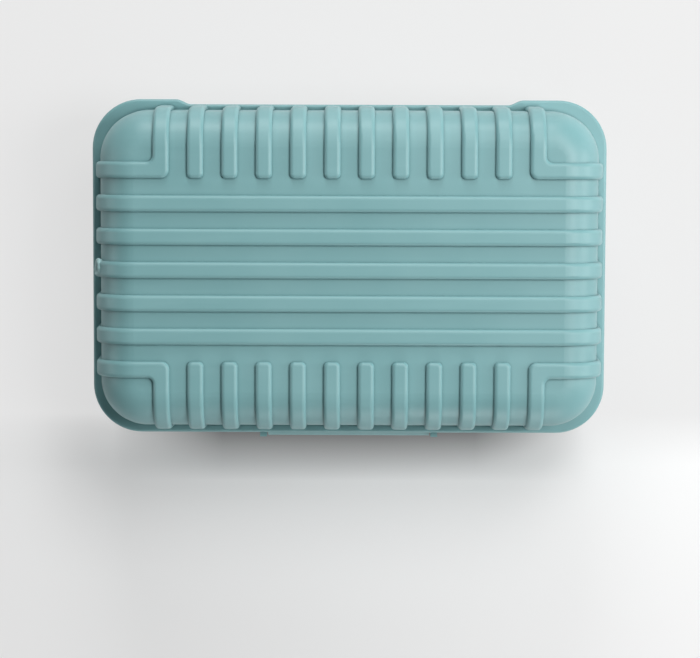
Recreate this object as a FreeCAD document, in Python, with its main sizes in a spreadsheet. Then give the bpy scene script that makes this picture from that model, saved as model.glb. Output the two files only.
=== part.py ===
import math
import os

import FreeCAD
import Part
import Sketcher

doc = FreeCAD.newDocument("travel_soap_box")
sheet = doc.addObject("Spreadsheet::Sheet", "sizes")

# Driving sizes of the box in millimetres and degrees; z is height above the table, +Y is the hinge side
driving = {
    # Rims and shells
    "rim_length": "116",
    "rim_width": "75.4",
    "rim_corner": "11",
    "rim_thickness": "2.4",
    "rim_overhang": "2.2",
    "rim_round": "0.6",
    "shell_corner": "11",
    "shell_wall": "1.6",
    "shell_draft": "3",
    "edge_round": "8",
    "base_depth": "19",
    "lid_depth": "18.8",
    "land_gap": "0.2",
    # Raised ribs
    "rib_height": "1",
    "rib_width": "3.7",
    "rib_round": "0.9",
    "rib_corner": "1.1",
    "rib_pitch_x": "7.5",
    "rib_pitch_y": "7.3",
    "short_rib_count": "10",
    "long_rib_count": "5",
    "elbow_outer_round": "1.8",
    "elbow_inner_round": "1.3",
    # Notch of the lid rim over the hinge
    "notch_width": "72.4",
    "notch_run": "2.4",
    "notch_overhang": "1.1",
    "notch_round": "2.5",
    # Hinge under the notch
    "hinge_inset": "0.3",
    "hinge_drop": "2.6",
    "hinge_span": "70",
    "knuckle_count": "5",
    "knuckle_radius": "1.4",
    "knuckle_gap": "0.3",
    "hinge_pin_radius": "0.7",
    "hinge_relief": "0.25",
    "hinge_backing": "1.5",
    "back_overhang": "1",
    "back_round": "1",
    "pin_fit": "0.05",
    # Tongue of the base and seal of the lid
    "tongue_gap": "0.5",
    "tongue_thickness": "1.2",
    "tongue_height": "2",
    "tongue_root": "2.5",
    "seal_width": "1.4",
    "seal_height": "1.4",
    "seal_seat": "0.4",
    "ledge_lip": "0.3",
    "ledge_thickness": "1.8",
    # Latch under the front rim
    "latch_width": "36.8",
    "latch_gap": "0.3",
    "latch_inset": "0.3",
    "latch_drop": "1.6",
    "latch_length": "9",
    "latch_thickness": "1.6",
    "latch_round": "0.5",
    "latch_radius": "1.4",
    "latch_pin_radius": "0.75",
    "ear_thickness": "1.5",
    "bay_margin": "0.4",
    "keeper_reach": "1.3",
    "keeper_height": "1.5",
    "keeper_drop": "6.4",
    "nib_gap": "0.15",
    "nib_height": "1.2",
    "grip_radius": "0.35",
    "grip_pitch": "1.2",
    # Drain tray and its posts
    "tray_gap": "0.8",
    "tray_thickness": "2",
    "tray_round": "0.6",
    "post_radius": "3",
    "post_height": "4.4",
    "post_inset_x": "5.7",
    "post_inset_y": "7.4",
    "peg_radius": "1.2",
    "peg_height": "1.5",
    "peg_fit": "0.2",
    "slot_width": "3",
    "slot_length": "44",
    "slot_pitch": "8",
    "slot_count": "10",
    "ridge_width": "2",
    "ridge_height": "1",
}

# Sizes that follow from the ones above
derived = {
    "shell_length": "=rim_length - 2 * rim_overhang",
    "shell_width": "=rim_width - 2 * rim_overhang",
    "cavity_length": "=shell_length - 2 * shell_wall",
    "cavity_width": "=shell_width - 2 * shell_wall",
    "cavity_corner": "=shell_corner - shell_wall",
    "base_land": "=rib_height + base_depth",
    "lid_land": "=base_land + land_gap",
    "lid_face": "=lid_land + lid_depth",
    "base_floor": "=rib_height + shell_wall",
    "hinge_y": "=shell_width / 2 - hinge_inset",
    "hinge_z": "=base_land - hinge_drop",
    "recess_y": "=hinge_y - knuckle_radius - hinge_relief",
    "recess_z": "=hinge_z - knuckle_radius - 2 * hinge_relief",
    "knuckle_pitch": "=(hinge_span + knuckle_gap) / knuckle_count",
    "tongue_inset": "=tongue_gap + tongue_thickness",
    "tongue_top": "=base_land + tongue_height",
    "seal_outset": "=tongue_gap + tongue_thickness / 2 - seal_width / 2",
    "seal_inset": "=seal_outset + seal_width",
    "ledge_inset": "=seal_inset + ledge_lip",
    "ledge_bottom": "=tongue_top + seal_height - seal_seat",
    "ledge_top": "=ledge_bottom + ledge_thickness",
    "latch_y": "=latch_inset - rim_width / 2",
    "latch_z": "=base_land - latch_drop",
    "latch_front": "=latch_y - latch_radius",
    "latch_back": "=latch_front + latch_thickness",
    "latch_bottom": "=latch_z - latch_length",
    "ear_inner": "=latch_width / 2 + latch_gap",
    "ear_outer": "=ear_inner + ear_thickness",
    "bay_half": "=ear_outer + bay_margin",
    "bay_bottom": "=latch_bottom - 2 * bay_margin",
    "keeper_z": "=latch_z - keeper_drop",
    "keeper_front": "=-(shell_width / 2 - tan(shell_draft) * (base_land - keeper_z) + keeper_reach)",
    "nib_back": "=keeper_front - nib_gap",
    "tray_length": "=cavity_length - 2 * (tongue_inset + tray_gap)",
    "tray_width": "=cavity_width - 2 * (tongue_inset + tray_gap)",
    "tray_corner": "=cavity_corner - tongue_inset - tray_gap",
    "post_x": "=tray_length / 2 - post_inset_x",
    "post_y": "=tray_width / 2 - post_inset_y",
    "tray_bottom": "=base_floor + post_height",
    "tray_top": "=tray_bottom + tray_thickness",
}

# Places nearer to each other than this, in millimetres, count as the same
closeness = 1e-6

names = list(driving) + list(derived)
for row, (name, text) in enumerate([*driving.items(), *derived.items()], 1):
    sheet.set("A%d" % row, name)
    sheet.set("B%d" % row, text)
    sheet.setAlias("B%d" % row, name)
doc.recompute()


def bound(text):
    for name in sorted(names, key=len, reverse=True):
        text = text.replace(name, "<%d>" % names.index(name))
    for index in range(len(names)):
        text = text.replace("<%d>" % index, "sizes." + names[index])
    return text


def value(text):
    result = sheet.evalExpression(bound(text))
    return float(getattr(result, "Value", result))


def bind(item, prop, text):
    item.setExpression(prop, bound(text))


# Sketches and solids

def sketch_in(body, name, height):
    sketch = body.newObject("Sketcher::SketchObject", name)
    sketch.AttachmentSupport = (body.Origin.OriginFeatures[3], [""])
    sketch.MapMode = "FlatFace"
    bind(sketch, "AttachmentOffset.Base.z", height)
    return sketch


def dimension(sketch, constraint, text):
    index = sketch.addConstraint(constraint)
    bind(sketch, "Constraints[%d]" % index, text)


def rounded_outline(body, name, length, width, corner, height):
    sketch = sketch_in(body, name, height)
    half_length = value(length) / 2
    half_width = value(width) / 2
    radius = value(corner)
    for turn in range(4):
        along = half_length if turn % 2 == 0 else half_width
        across = half_width if turn % 2 == 0 else half_length
        spin = FreeCAD.Rotation(FreeCAD.Vector(0, 0, 1), 90 * turn)
        start = spin.multVec(FreeCAD.Vector(radius - along, -across, 0))
        end = spin.multVec(FreeCAD.Vector(along - radius, -across, 0))
        centre = spin.multVec(FreeCAD.Vector(along - radius, radius - across, 0))
        circle = Part.Circle(centre, FreeCAD.Vector(0, 0, 1), radius)
        first = math.radians(90 * turn - 90)
        sketch.addGeometry(Part.LineSegment(start, end))
        sketch.addGeometry(Part.ArcOfCircle(circle, first, first + math.pi / 2))
    for index in range(8):
        sketch.addConstraint(Sketcher.Constraint("Tangent", index, 2, (index + 1) % 8, 1))
    for index in (0, 4):
        sketch.addConstraint(Sketcher.Constraint("Horizontal", index))
    for index in (2, 6):
        sketch.addConstraint(Sketcher.Constraint("Vertical", index))
    for index in (3, 5, 7):
        sketch.addConstraint(Sketcher.Constraint("Equal", 1, index))
    sketch.addConstraint(Sketcher.Constraint("Symmetric", 1, 3, 5, 3, -1, 1))
    dimension(sketch, Sketcher.Constraint("DistanceX", 6, 1, 2, 1, 2 * half_length), length)
    dimension(sketch, Sketcher.Constraint("DistanceY", 0, 1, 4, 1, 2 * half_width), width)
    dimension(sketch, Sketcher.Constraint("Radius", 1, radius), corner)
    return sketch


def polygon_outline(body, name, points, height):
    sketch = sketch_in(body, name, height)
    corners = [FreeCAD.Vector(value(x), value(y), 0) for x, y in points]
    count = len(corners)
    for index in range(count):
        sketch.addGeometry(Part.LineSegment(corners[index], corners[(index + 1) % count]))
    for index in range(count):
        sketch.addConstraint(Sketcher.Constraint("Coincident", index, 2, (index + 1) % count, 1))
    for index, (x, y) in enumerate(points):
        dimension(sketch, Sketcher.Constraint("DistanceX", -1, 1, index, 1, corners[index].x), x)
        dimension(sketch, Sketcher.Constraint("DistanceY", -1, 1, index, 1, corners[index].y), y)
    return sketch


def pad(body, sketch, depth, down=False):
    feature = body.newObject("PartDesign::Pad", sketch.Name + "_pad")
    feature.Profile = sketch
    feature.Reversed = down
    bind(feature, "Length", depth)
    doc.recompute()
    return feature


def edges_of(feature, test):
    picked = []
    for index, edge in enumerate(feature.Shape.Edges):
        if test(edge):
            picked.append("Edge%d" % (index + 1))
    return picked


def fillet(body, feature, name, test, radius):
    rounding = body.newObject("PartDesign::Fillet", name)
    rounding.Base = (feature, edges_of(feature, test))
    bind(rounding, "Radius", radius)
    doc.recompute()
    return rounding


def rounded(name, source, test, radius):
    body = doc.addObject("PartDesign::Body", name)
    body.BaseFeature = source
    doc.recompute()
    fillet(body, body.Group[0], name + "_round", test, radius)
    return body


def middle(edge):
    return edge.valueAt((edge.FirstParameter + edge.LastParameter) / 2)


def upright(edge):
    ends = edge.Vertexes
    return len(ends) == 2 and math.hypot(ends[0].X - ends[1].X, ends[0].Y - ends[1].Y) < closeness


def plate(name, length, width, corner, bottom, top):
    body = doc.addObject("PartDesign::Body", name)
    outline = rounded_outline(body, name + "_outline", length, width, corner, bottom)
    pad(body, outline, "%s - (%s)" % (top, bottom))
    return body


def bowl(name, grow, land, depth, down):
    body = doc.addObject("PartDesign::Body", name)
    outline = rounded_outline(body, name + "_outline", "shell_length + 2 * (%s)" % grow,
                              "shell_width + 2 * (%s)" % grow, "shell_corner + %s" % grow, land)
    walls = pad(body, outline, "%s + %s" % (depth, grow), down)
    bind(walls, "TaperAngle", "-shell_draft")
    doc.recompute()
    box = walls.Shape.BoundBox
    far = box.ZMin if down else box.ZMax
    fillet(body, walls, name + "_edge",
           lambda edge: all(abs(end.Z - far) < closeness for end in edge.Vertexes), "edge_round + %s" % grow)
    return body


def block(name, x_range, y_range, z_range):
    box = doc.addObject("Part::Box", name)
    sides = zip(("Length", "Width", "Height"), "xyz", (x_range, y_range, z_range))
    for side, axis, (low, high) in sides:
        bind(box, side, "%s - (%s)" % (high, low))
        bind(box, "Placement.Base." + axis, low)
    return box


def rounded_block(name, x_range, y_range, z_range, test, radius):
    body = doc.addObject("PartDesign::Body", name)
    outline = polygon_outline(body, name + "_outline", [
        (x_range[0], y_range[0]), (x_range[1], y_range[0]),
        (x_range[1], y_range[1]), (x_range[0], y_range[1])], z_range[0])
    fillet(body, pad(body, outline, "%s - (%s)" % (z_range[1], z_range[0])), name + "_round", test, radius)
    return body


def rod(name, radius, x_range, y, z):
    cylinder = doc.addObject("Part::Cylinder", name)
    cylinder.Placement.Rotation = FreeCAD.Rotation(FreeCAD.Vector(0, 1, 0), 90)
    bind(cylinder, "Radius", radius)
    bind(cylinder, "Height", "%s - (%s)" % (x_range[1], x_range[0]))
    bind(cylinder, "Placement.Base.x", x_range[0])
    bind(cylinder, "Placement.Base.y", y)
    bind(cylinder, "Placement.Base.z", z)
    return cylinder


def post(name, radius, x, y, z_range):
    cylinder = doc.addObject("Part::Cylinder", name)
    bind(cylinder, "Radius", radius)
    bind(cylinder, "Height", "%s - (%s)" % (z_range[1], z_range[0]))
    bind(cylinder, "Placement.Base.x", x)
    bind(cylinder, "Placement.Base.y", y)
    bind(cylinder, "Placement.Base.z", z_range[0])
    return cylinder


def fuse(name, shapes):
    joined = doc.addObject("Part::MultiFuse", name)
    joined.Shapes = shapes
    doc.recompute()
    return joined


def cut(name, base, tool):
    result = doc.addObject("Part::Cut", name)
    result.Base = base
    result.Tool = tool
    doc.recompute()
    return result


def common(name, base, tool):
    result = doc.addObject("Part::Common", name)
    result.Base = base
    result.Tool = tool
    doc.recompute()
    return result


# Plan of the ribs, as upright bars through the whole height

def row(body, name, axis, pitch, count):
    pattern = body.newObject("PartDesign::LinearPattern", name)
    pattern.TransformMode = "Whole shape"
    pattern.Direction = (body.Origin.OriginFeatures[axis], [""])
    bind(pattern, "Length", "%s * (%s - 1)" % (pitch, count))
    bind(pattern, "Occurrences", count)
    body.Tip = pattern
    doc.recompute()


def mirrored(body, name, plane):
    feature = body.newObject("PartDesign::Mirrored", name)
    feature.TransformMode = "Whole shape"
    feature.MirrorPlane = (body.Origin.OriginFeatures[plane], [""])
    body.Tip = feature
    doc.recompute()


through = "lid_face + 4 * rib_height"
elbow_x = "(short_rib_count + 1) / 2 * rib_pitch_x"
elbow_y = "(long_rib_count + 1) / 2 * rib_pitch_y"
half_rib = "rib_width / 2"
inner_x = elbow_x + " - " + half_rib
outer_x = elbow_x + " + " + half_rib
inner_y = elbow_y + " - " + half_rib
outer_y = elbow_y + " + " + half_rib

long_ribs = doc.addObject("PartDesign::Body", "long_ribs")
low_y = "-(long_rib_count - 1) / 2 * rib_pitch_y - " + half_rib
high_y = "-(long_rib_count - 1) / 2 * rib_pitch_y + " + half_rib
bar = polygon_outline(long_ribs, "long_rib", [
    ("-rim_length", low_y), ("rim_length", low_y),
    ("rim_length", high_y), ("-rim_length", high_y)], "-rib_height")
pad(long_ribs, bar, through)
row(long_ribs, "long_rib_row", 1, "rib_pitch_y", "long_rib_count")

short_ribs = doc.addObject("PartDesign::Body", "short_ribs")
low_x = "-(short_rib_count - 1) / 2 * rib_pitch_x - " + half_rib
high_x = "-(short_rib_count - 1) / 2 * rib_pitch_x + " + half_rib
bar = polygon_outline(short_ribs, "short_rib", [
    (low_x, inner_y), (high_x, inner_y), (high_x, "rim_width"), (low_x, "rim_width")], "-rib_height")
end_y = value(inner_y)
fillet(short_ribs, pad(short_ribs, bar, through), "short_rib_corners",
       lambda edge: upright(edge) and abs(middle(edge).y - end_y) < closeness, "rib_corner")
row(short_ribs, "short_rib_row", 0, "rib_pitch_x", "short_rib_count")
mirrored(short_ribs, "short_rib_pair", 4)

elbow_ribs = doc.addObject("PartDesign::Body", "elbow_ribs")
bar = polygon_outline(elbow_ribs, "elbow_rib", [
    (inner_x, inner_y), ("rim_length", inner_y), ("rim_length", outer_y),
    (outer_x, outer_y), (outer_x, "rim_width"), (inner_x, "rim_width")], "-rib_height")


def at_corner(x, y):
    corner_x, corner_y = value(x), value(y)

    def meets(edge):
        place = middle(edge)
        return upright(edge) and math.hypot(place.x - corner_x, place.y - corner_y) < closeness
    return meets


elbow = pad(elbow_ribs, bar, through)
elbow = fillet(elbow_ribs, elbow, "elbow_outside", at_corner(inner_x, inner_y), "elbow_outer_round")
fillet(elbow_ribs, elbow, "elbow_inside", at_corner(outer_x, outer_y), "elbow_inner_round")
mirrored(elbow_ribs, "elbow_pair", 5)
mirrored(elbow_ribs, "elbow_set", 4)
rib_plan = fuse("rib_plan", [long_ribs, short_ribs, elbow_ribs])


# Ribbed outside and hollow of each half

def ribs_on(name, grown, land):
    raised = common(name + "_bars", grown, rib_plan)
    skin = Part.Shell(grown.Shape.Faces)
    flat = value(land)

    def on_skin(edge):
        point = middle(edge)
        return abs(point.z - flat) > closeness and skin.distToShape(Part.Vertex(point))[0] < 10 * closeness
    return rounded(name, raised, on_skin, "rib_round")


half_wall = "-shell_wall / 2"
lid_bowl = bowl("lid_bowl", "0", "lid_land", "lid_depth", False)
base_bowl = bowl("base_bowl", "0", "base_land", "base_depth", True)
lid_skin = bowl("lid_skin", "rib_height", "lid_land", "lid_depth", False)
base_skin = bowl("base_skin", "rib_height", "base_land", "base_depth", True)
lid_ribs = ribs_on("lid_ribs", lid_skin, "lid_land")
base_ribs = ribs_on("base_ribs", base_skin, "base_land")
lid_core = bowl("lid_core", half_wall, "lid_land", "lid_depth", False)
base_core = bowl("base_core", half_wall, "base_land", "base_depth", True)
lid_hollow = bowl("lid_hollow", "-shell_wall", "lid_land", "lid_depth", False)
base_hollow = bowl("base_hollow", "-shell_wall", "base_land", "base_depth", True)


# Rims of both halves, with the notch of the lid and the trimmed back of the base

def near(level):
    return lambda edge: all(abs(end.Z - value(level)) < closeness for end in edge.Vertexes)


strip_y = "shell_width / 2 + notch_overhang"
mouth = "notch_width / 2 + notch_run"
notch = doc.addObject("PartDesign::Body", "notch")
notch_sketch = polygon_outline(notch, "notch_plan", [
    ("-notch_width / 2", strip_y), ("notch_width / 2", strip_y), (mouth, "rim_width / 2"),
    (mouth, "rim_width"), ("-(%s)" % mouth, "rim_width"), ("-(%s)" % mouth, "rim_width / 2")],
    "lid_land - rim_thickness")
pad(notch, notch_sketch, "3 * rim_thickness")
lid_rim_plate = plate("lid_rim_plate", "rim_length", "rim_width", "rim_corner",
                      "lid_land", "lid_land + rim_thickness")
lid_rim_cut = cut("lid_rim_cut", lid_rim_plate, notch)


def notch_end(edge):
    place = middle(edge)
    return upright(edge) and place.y > value("shell_width / 2") and abs(place.x) < value(mouth) + closeness


lid_rim_ends = rounded("lid_rim_ends", lid_rim_cut, notch_end, "notch_round")
lid_rim = rounded("lid_rim", lid_rim_ends, near("lid_land + rim_thickness"), "rim_round")

back_y = "shell_width / 2 + back_overhang"
base_rim_plate = plate("base_rim_plate", "rim_length", "rim_width", "rim_corner",
                       "base_land - rim_thickness", "base_land")
back_trim = block("back_trim", ("-rim_length", "rim_length"), (back_y, "rim_width"), ("0", "lid_face"))
base_rim_cut = cut("base_rim_cut", base_rim_plate, back_trim)
base_rim_under = rounded("base_rim_under", base_rim_cut, near("base_land - rim_thickness"), "rim_round")


def back_edge(edge):
    place = middle(edge)
    return near("base_land")(edge) and place.y > value(back_y) - closeness


base_rim = rounded("base_rim", base_rim_under, back_edge, "back_round")


# Hinge knuckles, taken by the base and the lid in turn

half_span = "hinge_span / 2"
base_knuckles = []
lid_knuckles = []
for index in range(round(value("knuckle_count"))):
    start = "%d * knuckle_pitch - %s" % (index, half_span)
    x_range = (start, "%s + knuckle_pitch - knuckle_gap" % start)
    barrel = rod("knuckle_%d" % index, "knuckle_radius", x_range, "hinge_y", "hinge_z")
    if index % 2 == 0:
        foot = block("knuckle_foot_%d" % index, x_range,
                     ("recess_y - hinge_relief", "hinge_y + knuckle_radius / 2"),
                     ("recess_z - hinge_relief", "hinge_z"))
        base_knuckles += [barrel, foot]
    else:
        arm = block("knuckle_arm_%d" % index, x_range,
                    ("hinge_y - knuckle_radius", "hinge_y + knuckle_radius"),
                    ("hinge_z", "lid_land + rim_thickness / 2"))
        lid_knuckles += [barrel, arm]
hinge_bore = rod("hinge_bore", "hinge_pin_radius + pin_fit",
                 ("-(%s) - knuckle_gap" % half_span, half_span + " + knuckle_gap"), "hinge_y", "hinge_z")


# Rings that follow the hollow, set in from its mouth

def ring_plate(name, inset, bottom, top):
    return plate(name, "cavity_length - 2 * (%s)" % inset, "cavity_width - 2 * (%s)" % inset,
                 "cavity_corner - (%s)" % inset, bottom, top)


def ring(name, outer_inset, inner_inset, bottom, top):
    outer = ring_plate(name + "_outer", outer_inset, bottom, top)
    inner = ring_plate(name + "_inner", inner_inset, bottom, top)
    return cut(name, outer, inner)


tongue = ring("tongue", "tongue_gap", "tongue_inset", "base_land - tongue_root", "tongue_top")
tongue_foot = ring("tongue_foot", half_wall, "tongue_inset", "base_land - tongue_root", "base_land")
ledge_ring = ring("ledge_ring", half_wall, "ledge_inset", "ledge_bottom", "ledge_top")
seal_ring = ring("seal_ring", "seal_outset", "seal_inset", "tongue_top", "tongue_top + seal_height")

# Lid: crown, ribs, rim, ledge, hinge arms and latch ears

ears = []
for side, x_range in (("left", ("-ear_outer", "-ear_inner")), ("right", ("ear_inner", "ear_outer"))):
    ears.append(rod("ear_tip_" + side, "latch_radius", x_range, "latch_y", "latch_z"))
    ears.append(block("ear_root_" + side, x_range, ("latch_front", "latch_y + latch_radius"),
                      ("latch_z", "lid_land + rim_thickness / 2")))
latch_bore = rod("latch_bore", "latch_pin_radius + pin_fit",
                 ("-ear_outer - latch_gap", "ear_outer + latch_gap"), "latch_y", "latch_z")

lid_outside = fuse("lid_outside", [lid_bowl, lid_rim])
lid_blank = cut("lid_blank", lid_outside, lid_hollow)
lid_solid = fuse("lid_solid", [lid_blank, ledge_ring] + lid_knuckles + ears)
lid_bores = fuse("lid_bores", [hinge_bore, latch_bore, seal_ring])
lid_plain = cut("lid_plain", lid_solid, lid_bores)
lid_bars = cut("lid_bars", lid_ribs, lid_core)
lid_shell = fuse("lid_shell", [lid_plain, lid_bars])

# Base: bowl, ribs, rim, tongue, hinge recess, tray posts and latch keeper

rib_stop = block("rib_stop", ("-rim_length", "rim_length"), ("-rim_width", "rim_width"),
                 ("base_land - rim_thickness / 2", "lid_face"))
base_outside = fuse("base_outside", [base_bowl, base_rim])
base_blank = cut("base_blank", base_outside, base_hollow)

backing = block("backing", ("-(%s) - hinge_backing" % half_span, "%s + hinge_backing" % half_span),
                ("recess_y - hinge_backing", "cavity_width / 2 + shell_wall / 2"),
                ("recess_z - hinge_backing", "base_land"))
recess = block("recess", ("-(%s) - knuckle_gap" % half_span, "%s + knuckle_gap" % half_span),
               ("recess_y", "rim_width"), ("recess_z", "lid_face"))
bay_block = block("bay_block", ("-bay_half", "bay_half"), ("-rim_width", "-cavity_width / 2 + edge_round"),
                  ("bay_bottom", "lid_face"))
bay = cut("bay", bay_block, base_bowl)
openings = fuse("openings", [recess, bay])

posts = []
for side, x in (("left", "-post_x"), ("right", "post_x")):
    for end, y in (("front", "-post_y"), ("back", "post_y")):
        place = side + "_" + end
        posts.append(post("post_" + place, "post_radius", x, y,
                          ("base_floor - shell_wall / 2", "tray_bottom")))
        posts.append(post("peg_" + place, "peg_radius", x, y, ("base_floor", "tray_bottom + peg_height")))

nib_half = "latch_width / 2 - 4 * latch_gap"
keeper = rounded_block("keeper", ("-(%s)" % nib_half, nib_half), ("keeper_front", "-cavity_width / 2"),
                       ("keeper_z", "keeper_z + keeper_height"),
                       lambda edge: abs(middle(edge).y - value("keeper_front")) < closeness, "latch_round")

base_lined = fuse("base_lined", [base_blank, tongue, tongue_foot, backing])
base_open = cut("base_open", base_lined, openings)
base_solid = fuse("base_solid", [base_open, keeper] + base_knuckles + posts)
base_plain = cut("base_plain", base_solid, hinge_bore)
bar_cuts = fuse("bar_cuts", [rib_stop, openings, base_core])
base_bars = cut("base_bars", base_ribs, bar_cuts)
base_shell = fuse("base_shell", [base_plain, base_bars])

# Latch: knuckle, flap with rounded edges, nib and grip grooves

latch_half = "latch_width / 2"
latch_range = ("-(%s)" % latch_half, latch_half)
latch_knuckle = rod("latch_knuckle", "latch_radius", latch_range, "latch_y", "latch_z")
flap = rounded_block("flap", latch_range, ("latch_front", "latch_back"), ("latch_bottom", "latch_z"),
                     lambda edge: abs(middle(edge).z - value("latch_bottom")) < closeness, "latch_round")
nib = block("nib", ("-(%s)" % nib_half, nib_half), ("latch_back - latch_thickness / 2", "nib_back"),
            ("keeper_z - nib_gap - nib_height", "keeper_z - nib_gap"))
latch_solid = fuse("latch_solid", [latch_knuckle, flap, nib])
grips = []
for index in range(1, 4):
    grips.append(rod("grip_%d" % index, "grip_radius", ("-(%s) + latch_radius" % latch_half,
                 "%s - latch_radius" % latch_half), "latch_front", "latch_bottom + %d * grip_pitch" % index))
latch_cuts = fuse("latch_cuts", [latch_bore] + grips)
latch = cut("latch", latch_solid, latch_cuts)

# Pins

hinge_pin = rod("hinge_pin", "hinge_pin_radius", ("knuckle_gap - " + half_span, half_span + " - knuckle_gap"),
                "hinge_y", "hinge_z")
latch_pin = rod("latch_pin", "latch_pin_radius", ("latch_gap - ear_outer", "ear_outer - latch_gap"),
                "latch_y", "latch_z")


# Drain tray: plate with rounded edge, slots, ridges and peg holes

def bars(name, width, count, bottom, top, rounding):
    body = doc.addObject("PartDesign::Body", name)
    outline = rounded_outline(body, name + "_outline", width, "slot_length", "0.45 * " + width, bottom)
    bind(outline, "AttachmentOffset.Base.x", "-(%s - 1) / 2 * slot_pitch" % count)
    raised = pad(body, outline, "%s - (%s)" % (top, bottom))
    if rounding:
        fillet(body, raised, name + "_round", near(top), rounding)
    row(body, name + "_row", 0, "slot_pitch", count)
    return body


tray_plate = plate("tray_plate", "tray_length", "tray_width", "tray_corner", "tray_bottom", "tray_top")
tray_body = rounded("tray_body", tray_plate, near("tray_top"), "tray_round")
slots = bars("slots", "slot_width", "slot_count", "tray_bottom - ridge_height",
             "tray_top + ridge_height", None)
ridges = bars("ridges", "ridge_width", "slot_count - 1", "tray_bottom + tray_thickness / 2",
              "tray_top + ridge_height", "0.4 * ridge_width")
holes = []
for x in ("-post_x", "post_x"):
    for y in ("-post_y", "post_y"):
        holes.append(post("peg_hole_%d" % len(holes), "peg_radius + peg_fit", x, y,
                          ("base_floor", "lid_face")))
tray_solid = fuse("tray_solid", [tray_body, ridges])
tray_cuts = fuse("tray_cuts", [slots] + holes)
drain_tray = cut("drain_tray", tray_solid, tray_cuts)

# Check every object, then write one file for each piece

doc.recompute()
for item in doc.Objects:
    if "Invalid" in item.State or "Error" in item.State:
        raise RuntimeError("not built: " + item.Name)
os.makedirs("parts", exist_ok=True)
pieces = [lid_shell, base_shell, hinge_pin, latch, latch_pin, seal_ring, drain_tray]
for piece in pieces:
    piece.Label = piece.Name
    shape = piece.Shape
    if not shape.isValid() or len(shape.Solids) != 1:
        raise RuntimeError("not one sound solid: " + piece.Name)
    shape.exportStep("parts/%s.step" % piece.Name)
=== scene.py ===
import math

import bpy
from mathutils import Matrix, Vector, noise


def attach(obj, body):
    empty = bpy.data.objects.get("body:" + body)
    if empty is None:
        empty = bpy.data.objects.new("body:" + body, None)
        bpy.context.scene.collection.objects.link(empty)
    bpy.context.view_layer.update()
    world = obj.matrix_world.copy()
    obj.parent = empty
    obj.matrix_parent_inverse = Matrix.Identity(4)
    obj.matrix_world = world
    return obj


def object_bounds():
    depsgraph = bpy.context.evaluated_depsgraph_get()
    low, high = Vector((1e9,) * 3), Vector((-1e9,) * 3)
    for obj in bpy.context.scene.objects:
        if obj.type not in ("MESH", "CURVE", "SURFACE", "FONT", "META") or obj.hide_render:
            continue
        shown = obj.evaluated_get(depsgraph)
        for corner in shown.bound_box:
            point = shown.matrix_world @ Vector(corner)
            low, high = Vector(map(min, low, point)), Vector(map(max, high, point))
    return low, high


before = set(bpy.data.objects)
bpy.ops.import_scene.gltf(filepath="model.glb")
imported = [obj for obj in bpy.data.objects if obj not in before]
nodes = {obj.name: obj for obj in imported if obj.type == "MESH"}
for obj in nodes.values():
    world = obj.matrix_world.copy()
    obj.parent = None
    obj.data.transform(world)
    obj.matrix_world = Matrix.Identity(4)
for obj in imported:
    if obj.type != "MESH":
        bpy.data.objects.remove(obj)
cad_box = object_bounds()
scene = bpy.context.scene


# Colours, as linear light

TEAL = (0.187, 0.366, 0.380, 1.0)
TEAL_DEEP = (0.172, 0.348, 0.362, 1.0)
TEAL_WORN = (0.230, 0.430, 0.445, 1.0)
# Painted shade: the darker tone mixed into the teal plastic's crevices
TEAL_PAINTED_SHADE = (0.060, 0.150, 0.160, 1.0)
TEAL_TORN = (0.600, 0.760, 0.750, 1.0)
TRAY_WHITE = (0.590, 0.640, 0.625, 1.0)
TRAY_SHADE = (0.530, 0.585, 0.572, 1.0)
TRAY_WORN = (0.660, 0.700, 0.690, 1.0)
# Painted shade: the darker tone mixed into the tray plastic's crevices
TRAY_PAINTED_SHADE = (0.400, 0.450, 0.440, 1.0)
SEAL_GREY = (0.330, 0.440, 0.430, 1.0)
SEAL_DUST = (0.420, 0.510, 0.500, 1.0)
STEEL = (0.560, 0.570, 0.580, 1.0)
STEEL_DARK = (0.400, 0.410, 0.420, 1.0)
FLOOR_PALE = (0.800, 0.800, 0.800, 1.0)


# Node helpers, with the places of the colour sockets on a mix node

MIX_FIRST, MIX_SECOND, MIX_RESULT = 6, 7, 2


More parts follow.
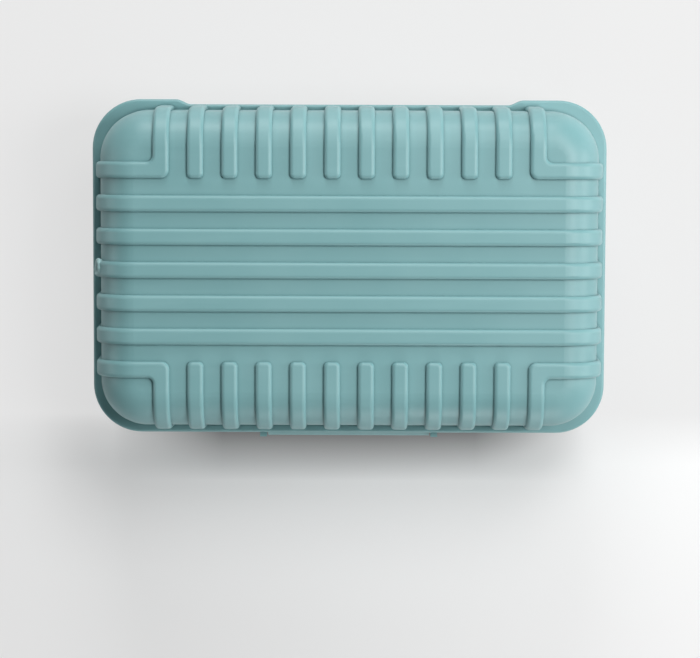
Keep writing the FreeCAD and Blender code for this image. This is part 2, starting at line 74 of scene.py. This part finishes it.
class Tree:
    """The node tree of one new material, with short calls to fill it."""

    def __init__(self, name):
        self.material = bpy.data.materials.new(name)
        self.material.use_nodes = True
        self.nodes = self.material.node_tree.nodes
        self.links = self.material.node_tree.links
        self.shader = self.nodes["Principled BSDF"]
        self.place = self.add("ShaderNodeTexCoord").outputs["Object"]

    def add(self, kind, **settings):
        node = self.nodes.new(kind)
        for name, value in settings.items():
            setattr(node, name, value)
        return node

    def join(self, output, socket):
        self.links.new(output, socket)

    def stretched(self, scale):
        mapping = self.add("ShaderNodeMapping")
        mapping.inputs["Scale"].default_value = scale
        self.join(self.place, mapping.inputs["Vector"])
        return mapping.outputs["Vector"]

    def noise(self, size, detail=3.0, rough=0.55, vector=None):
        node = self.add("ShaderNodeTexNoise")
        node.inputs["Scale"].default_value = 1 / size
        node.inputs["Detail"].default_value = detail
        node.inputs["Roughness"].default_value = rough
        self.join(vector or self.place, node.inputs["Vector"])
        return node.outputs["Fac"]

    def ranged(self, value, low, high, new_low, new_high):
        node = self.add("ShaderNodeMapRange")
        node.inputs["From Min"].default_value = low
        node.inputs["From Max"].default_value = high
        node.inputs["To Min"].default_value = new_low
        node.inputs["To Max"].default_value = new_high
        self.join(value, node.inputs["Value"])
        return node.outputs["Result"]

    def combined(self, operation, first, second):
        node = self.add("ShaderNodeMath", operation=operation)
        self.join(first, node.inputs[0])
        self.join(second, node.inputs[1])
        return node.outputs["Value"]

    def mixed(self, share, first, second):
        node = self.add("ShaderNodeMix", data_type="RGBA")
        self.join(share, node.inputs["Factor"])
        for place, colour in ((MIX_FIRST, first), (MIX_SECOND, second)):
            if isinstance(colour, tuple):
                node.inputs[place].default_value = colour
            else:
                self.join(colour, node.inputs[place])
        return node.outputs[MIX_RESULT]

    def edges(self, radius):
        bevel = self.add("ShaderNodeBevel", samples=6)
        bevel.inputs["Radius"].default_value = radius
        flat = self.add("ShaderNodeNewGeometry").outputs["Normal"]
        product = self.add("ShaderNodeVectorMath", operation="DOT_PRODUCT")
        self.join(bevel.outputs["Normal"], product.inputs[0])
        self.join(flat, product.inputs[1])
        return self.ranged(product.outputs["Value"], 0.99, 0.80, 0.0, 1.0)

    def openness(self, distance):
        node = self.add("ShaderNodeAmbientOcclusion", samples=8, only_local=True)
        node.inputs["Distance"].default_value = distance
        return node.outputs["AO"]

    def bumps(self, *layers):
        last = None
        for height, distance, strength in layers:
            bump = self.add("ShaderNodeBump")
            bump.inputs["Distance"].default_value = distance
            bump.inputs["Strength"].default_value = strength
            self.join(height, bump.inputs["Height"])
            if last:
                self.join(last, bump.inputs["Normal"])
            last = bump.outputs["Normal"]
        self.join(last, self.shader.inputs["Normal"])

    def paint(self, colour, roughness):
        self.join(colour, self.shader.inputs["Base Color"])
        self.join(roughness, self.shader.inputs["Roughness"])


# Moulded plastic: soft cloudiness, flow streaks, rubbed edges, painted shade in the crevices and a fine
# grain

CLOUD_SIZE = 0.022
STREAK_SIZE = 0.004
STREAK_STRETCH = (0.12, 1.0, 1.0)
GRAIN_SIZE = 0.00022
RIPPLE_SIZE = 0.009
SPECK_SIZE = 0.0007
CREVICE_REACH = 0.0012
RUBBED_RADIUS = 0.0004


def moulded_plastic(name, main, deep, worn, painted_crevice_shade, roughness):
    tree = Tree(name)
    cloud = tree.noise(CLOUD_SIZE, detail=4.0)
    streak = tree.noise(STREAK_SIZE, detail=2.0, vector=tree.stretched(STREAK_STRETCH))
    grain = tree.noise(GRAIN_SIZE, detail=2.0)
    ripple = tree.noise(RIPPLE_SIZE, detail=1.0)
    speck = tree.noise(SPECK_SIZE, detail=2.0)
    clouded = tree.mixed(tree.ranged(cloud, 0.35, 0.65, 0.0, 1.0), deep, main)
    streaked = tree.mixed(tree.ranged(streak, 0.56, 0.78, 0.0, 0.22), clouded, worn)
    specked = tree.mixed(tree.ranged(speck, 0.70, 0.78, 0.0, 0.25), streaked, worn)
    openness = tree.openness(CREVICE_REACH)
    outside = tree.ranged(openness, 0.75, 0.95, 0.0, 0.40)
    rubbing = tree.combined("MULTIPLY", tree.edges(RUBBED_RADIUS), outside)
    rubbed = tree.mixed(rubbing, specked, worn)
    # Painted shade: crevices found by ambient occlusion are darkened in the colour itself
    crevice_shaded = tree.mixed(tree.ranged(openness, 0.45, 0.88, 0.75, 0.0), rubbed, painted_crevice_shade)
    tree.paint(crevice_shaded, tree.ranged(cloud, 0.3, 0.7, roughness - 0.04, roughness + 0.05))
    tree.bumps((ripple, 0.00006, 0.25), (grain, 0.00002, 0.55))
    tree.shader.inputs["Specular IOR Level"].default_value = 0.5
    return tree.material


# Silicone: dull, with a little dust

LINT_SIZE = 0.0012
RUBBER_GRAIN = 0.0003
RUBBER_GLOW_DEPTH = (0.0010, 0.0012, 0.0012)


def silicone(name, main, dust):
    tree = Tree(name)
    lint = tree.noise(LINT_SIZE, detail=3.0)
    grain = tree.noise(RUBBER_GRAIN)
    tree.paint(
        tree.mixed(tree.ranged(lint, 0.52, 0.72, 0.0, 1.0), main, dust),
        tree.ranged(lint, 0.3, 0.7, 0.55, 0.75),
    )
    tree.bumps((grain, 0.00003, 0.4))
    tree.shader.inputs["Subsurface Weight"].default_value = 0.15
    tree.shader.inputs["Subsurface Radius"].default_value = RUBBER_GLOW_DEPTH
    return tree.material


# Drawn wire: streaks along its length

DRAW_LINE_SIZE = 0.0002
DRAW_LINE_STRETCH = (0.01, 1.0, 1.0)
STAIN_SIZE = 0.003


def drawn_steel(name, bright, dark):
    tree = Tree(name)
    draw_lines = tree.noise(DRAW_LINE_SIZE, vector=tree.stretched(DRAW_LINE_STRETCH))
    stain = tree.noise(STAIN_SIZE)
    tree.paint(
        tree.mixed(tree.ranged(draw_lines, 0.35, 0.65, 0.0, 1.0), dark, bright),
        tree.ranged(stain, 0.3, 0.7, 0.24, 0.40),
    )
    tree.bumps((draw_lines, 0.00001, 0.4))
    tree.shader.inputs["Metallic"].default_value = 1.0
    return tree.material


# Materials of the pieces

def dress(node_name, material):
    slots = nodes[node_name].data.materials
    slots.clear()
    slots.append(material)


shell = moulded_plastic("shell_plastic", TEAL, TEAL_DEEP, TEAL_WORN, TEAL_PAINTED_SHADE, 0.45)
tray = moulded_plastic("tray_plastic", TRAY_WHITE, TRAY_SHADE, TRAY_WORN, TRAY_PAINTED_SHADE, 0.44)
rubber = silicone("seal_rubber", SEAL_GREY, SEAL_DUST)
steel = drawn_steel("pin_steel", STEEL, STEEL_DARK)

for shell_node in ("lid_shell", "base_shell", "latch"):
    dress(shell_node, shell)
for pin_node in ("hinge_pin", "latch_pin"):
    dress(pin_node, steel)
dress("drain_tray", tray)
dress("seal_ring", rubber)


# Small marks that moulding leaves on the halves: a torn gate and the prints of ejectors

MILLIMETRE = 0.001
GATE_PLACE = Vector((-0.0555, 0.0003, 0.0338))
GATE_TILT = math.radians(22)
GATE_HALF_WIDTH, GATE_HALF_HEIGHT, GATE_LENGTH = 0.0019, 0.0017, 0.0006
COARSE_TEAR, FINE_TEAR = 0.0012, 0.0005
GATE_STEPS = 48
MARK_STEPS = 40
MARK_RADIUS = 0.0026
MARK_X, MARK_Y = 0.030, 0.0146
LID_CEILING = 0.0374
BASE_FLOOR = 0.0026


def ring_mesh(name, rings, material):
    """A mesh from closed rings of points, the first open and the last closed by a face."""
    mesh = bpy.data.meshes.new(name)
    steps = len(rings[0])
    points = [point for ring in rings for point in ring]
    faces = []
    for level in range(len(rings) - 1):
        for step in range(steps):
            ahead = (step + 1) % steps
            low, high = level * steps, (level + 1) * steps
            faces.append((low + step, low + ahead, high + ahead, high + step))
    faces.append([(len(rings) - 1) * steps + step for step in range(steps)])
    mesh.from_pydata(points, [], faces)
    mesh.polygons.foreach_set("use_smooth", [True] * len(faces))
    mesh.materials.append(material)
    piece = bpy.data.objects.new(name, mesh)
    scene.collection.objects.link(piece)
    return piece


def ragged(place, size):
    return noise.noise(Vector(place) / size)


def snapped_stub(name):
    """The torn end of a gate on the left end of a rib: rings by reach, rise and tear, round a hollow."""
    profile = ((0.95, -1.4, 0.0), (1.10, 0.0, 0.1), (1.0, 0.6, 0.3), (0.84, 1.0, 0.5),
               (0.62, 0.5, 0.5), (0.40, -0.2, 0.3), (0.20, -0.4, 0.2))
    outwards = Vector((-math.cos(GATE_TILT), 0, math.sin(GATE_TILT)))
    upwards = Vector((math.sin(GATE_TILT), 0, math.cos(GATE_TILT)))
    rings = []
    for reach, rise, tear in profile:
        ring = []
        for step in range(GATE_STEPS):
            angle = 2 * math.pi * step / GATE_STEPS
            across = Vector((0, GATE_HALF_WIDTH * reach * math.cos(angle), 0))
            place = GATE_PLACE + across + upwards * GATE_HALF_HEIGHT * reach * math.sin(angle)
            torn = rise + tear * (ragged(place, FINE_TEAR) + ragged(place, COARSE_TEAR))
            ring.append(place + outwards * GATE_LENGTH * torn)
        rings.append(ring)
    return ring_mesh(name, rings, torn_plastic)


def witness_mark(name, centre, facing):
    """The round print of an ejector: rings by reach and rise, a shallow ridge round a flat disc."""
    profile = ((1.0, -0.05), (0.98, 0.05), (0.94, 0.06), (0.90, 0.02), (0.50, 0.02))
    rings = []
    for reach, rise in profile:
        ring = []
        for step in range(MARK_STEPS):
            angle = facing * 2 * math.pi * step / MARK_STEPS
            across = Vector((math.cos(angle), math.sin(angle), 0)) * MARK_RADIUS * reach
            ring.append(centre + across + Vector((0, 0, facing * rise * MILLIMETRE)))
        rings.append(ring)
    return ring_mesh(name, rings, shell)


torn_plastic = moulded_plastic("torn_plastic", TEAL_TORN, TEAL_WORN, TEAL_TORN, TEAL_PAINTED_SHADE, 0.58)
gate = snapped_stub("gate_stub")
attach(gate, "lid")

for half, height, facing in (("lid", LID_CEILING, -1), ("base", BASE_FLOOR, 1)):
    for end, x in (("left", -MARK_X), ("right", MARK_X)):
        for side, y in (("front", -MARK_Y), ("back", MARK_Y)):
            mark = witness_mark("_".join((half, "mark", end, side)), Vector((x, y, height)), facing)
            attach(mark, half)


# Floor under the box: pale, with a shadow only close in front, partly cast and partly painted into the
# floor's colour

FLOOR_REACH = 3.0
FLOOR_CLOUD_SIZE = 0.35
FLOOR_CLOUD_LIFT = 1.03
SHADOW_LINE = -0.036
SHADOW_BLUR = 0.012
SHADOW_REACH = 0.09
SHADOW_END = 0.20
FLOOR_GLOW = 0.80
# Painted shadow: the dark tone and its greatest share in the floor's colour
PAINTED_SHADOW_TONE = (0.03, 0.032, 0.034, 1.0)
PAINTED_SHADOW_MOST = 0.90
SHADE_FRONT, SHADE_BACK = -0.052, -0.038
SHADE_INNER, SHADE_OUTER = 0.030, 0.056
UNDER_FRONT, UNDER_BACK = -0.026, -0.016


def floor_material():
    tree = Tree("floor_pale")
    cloud = tree.noise(FLOOR_CLOUD_SIZE, detail=2.0)
    paler = tuple(FLOOR_CLOUD_LIFT * part for part in FLOOR_PALE[:3]) + (1.0,)
    axes = tree.add("ShaderNodeSeparateXYZ")
    tree.join(tree.place, axes.inputs["Vector"])
    away = tree.add("ShaderNodeMath", operation="ABSOLUTE")
    tree.join(axes.outputs["X"], away.inputs[0])
    # Painted shadow: a dark tone mixed into the floor's colour in front of the box, fading to the sides,
    # forwards and back under the box
    ends = tree.ranged(away.outputs["Value"], SHADE_INNER, SHADE_OUTER, PAINTED_SHADOW_MOST, 0.0)
    near = tree.ranged(axes.outputs["Y"], SHADE_FRONT, SHADE_BACK, 0.0, 1.0)
    under = tree.ranged(axes.outputs["Y"], UNDER_FRONT, UNDER_BACK, 1.0, 0.0)
    painted_shadow = tree.combined("MULTIPLY", tree.combined("MULTIPLY", ends, near), under)
    colour = tree.mixed(painted_shadow, tree.mixed(cloud, FLOOR_PALE, paler), PAINTED_SHADOW_TONE)
    tree.paint(colour, tree.ranged(cloud, 0.3, 0.7, 0.80, 0.90))
    glow = tree.add("ShaderNodeEmission")
    tree.join(colour, glow.inputs["Color"])
    seen = tree.add("ShaderNodeLightPath").outputs["Is Camera Ray"]
    behind = tree.ranged(axes.outputs["Y"], SHADOW_LINE - SHADOW_BLUR, SHADOW_LINE, 0.0, FLOOR_GLOW)
    distance = tree.add("ShaderNodeVectorMath", operation="LENGTH")
    tree.join(tree.place, distance.inputs[0])
    far = tree.ranged(distance.outputs["Value"], SHADOW_REACH, SHADOW_END, 0.0, FLOOR_GLOW)
    share = tree.combined("MULTIPLY", seen, tree.combined("MAXIMUM", behind, far))
    mix = tree.add("ShaderNodeMixShader")
    tree.join(share, mix.inputs["Fac"])
    tree.join(tree.shader.outputs["BSDF"], mix.inputs[1])
    tree.join(glow.outputs["Emission"], mix.inputs[2])
    tree.join(mix.outputs["Shader"], tree.nodes["Material Output"].inputs["Surface"])
    return tree.material


bpy.ops.mesh.primitive_plane_add(size=2 * FLOOR_REACH, location=(0, 0, cad_box[0].z))
floor = bpy.context.object
floor.name = "floor"
floor.data.materials.append(floor_material())


# Studio light: soft boxes, strongest from the right and the hinge side, and a faint fill from everywhere

FILL_LEVEL = 0.04
PALE_SKY = 0.80
LIGHT_DISTANCE = 0.5
LIGHT_SIZE = 0.20

world = bpy.data.worlds.new("studio")
scene.world = world
world.use_nodes = True
sky = world.node_tree.nodes["Background"]
sky.inputs["Color"].default_value = (1.0, 1.0, 1.0, 1.0)
seen = world.node_tree.nodes.new("ShaderNodeLightPath")
level = world.node_tree.nodes.new("ShaderNodeMapRange")
level.inputs["To Min"].default_value = FILL_LEVEL
level.inputs["To Max"].default_value = PALE_SKY
world.node_tree.links.new(seen.outputs["Is Camera Ray"], level.inputs["Value"])
world.node_tree.links.new(level.outputs["Result"], sky.inputs["Strength"])


def soft_box(name, azimuth, elevation, power):
    """A square lamp aimed at the lid. Angles in degrees, the azimuth from the right end to the hinge."""
    turn, rise = math.radians(azimuth), math.radians(elevation)
    across = Vector((math.cos(turn), math.sin(turn), 0)) * math.cos(rise)
    outwards = across + Vector((0, 0, math.sin(rise)))
    lamp = bpy.data.lights.new(name, "AREA")
    lamp.shape = "SQUARE"
    lamp.size = LIGHT_SIZE
    lamp.energy = power
    holder = bpy.data.objects.new(name, lamp)
    scene.collection.objects.link(holder)
    place = Vector((0, 0, cad_box[1].z)) + outwards * LIGHT_DISTANCE
    aimed = outwards.to_track_quat("Z", "Y").to_matrix().to_4x4()
    holder.matrix_world = Matrix.Translation(place) @ aimed


soft_box("right_light", azimuth=8, elevation=57, power=1.45)
soft_box("hinge_light", azimuth=66, elevation=52, power=0.85)
soft_box("hinge_edge_light", azimuth=92, elevation=20, power=1.20)
soft_box("right_edge_light", azimuth=2, elevation=18, power=0.95)
soft_box("front_edge_light", azimuth=280, elevation=13, power=0.82)
soft_box("left_edge_light", azimuth=180, elevation=13, power=0.38)


# Camera: square on to the lid, a little towards the hinge side

PICTURE_WIDTH = 700
FOCUS_IN_PIXELS = 2236
SENSOR_WIDTH = 36.0
RIM_HEIGHT = 0.0215
CAMERA_DISTANCE = 0.5075
CAMERA_TILT = math.radians(2.84)
CAMERA_ROLL = math.radians(0.20)
AIM_X = 0.00022
AIM_Y = -0.01414

eye = Vector((0, math.sin(CAMERA_TILT), math.cos(CAMERA_TILT))) * CAMERA_DISTANCE
eye.z += RIM_HEIGHT
look = Vector((AIM_X, AIM_Y, RIM_HEIGHT)) - eye
back = -look.normalized()
right = Vector((0, 1, 0)).cross(back).normalized()
upright = Matrix((right, back.cross(right), back)).transposed().to_4x4()
turned = upright @ Matrix.Rotation(CAMERA_ROLL, 4, "Z")

lens = bpy.data.cameras.new("camera")
lens.sensor_width = SENSOR_WIDTH
lens.lens = FOCUS_IN_PIXELS * SENSOR_WIDTH / PICTURE_WIDTH
camera = bpy.data.objects.new("camera", lens)
scene.collection.objects.link(camera)
camera.matrix_world = Matrix.Translation(eye) @ turned
scene.camera = camera
scene.view_settings.view_transform = "Standard"
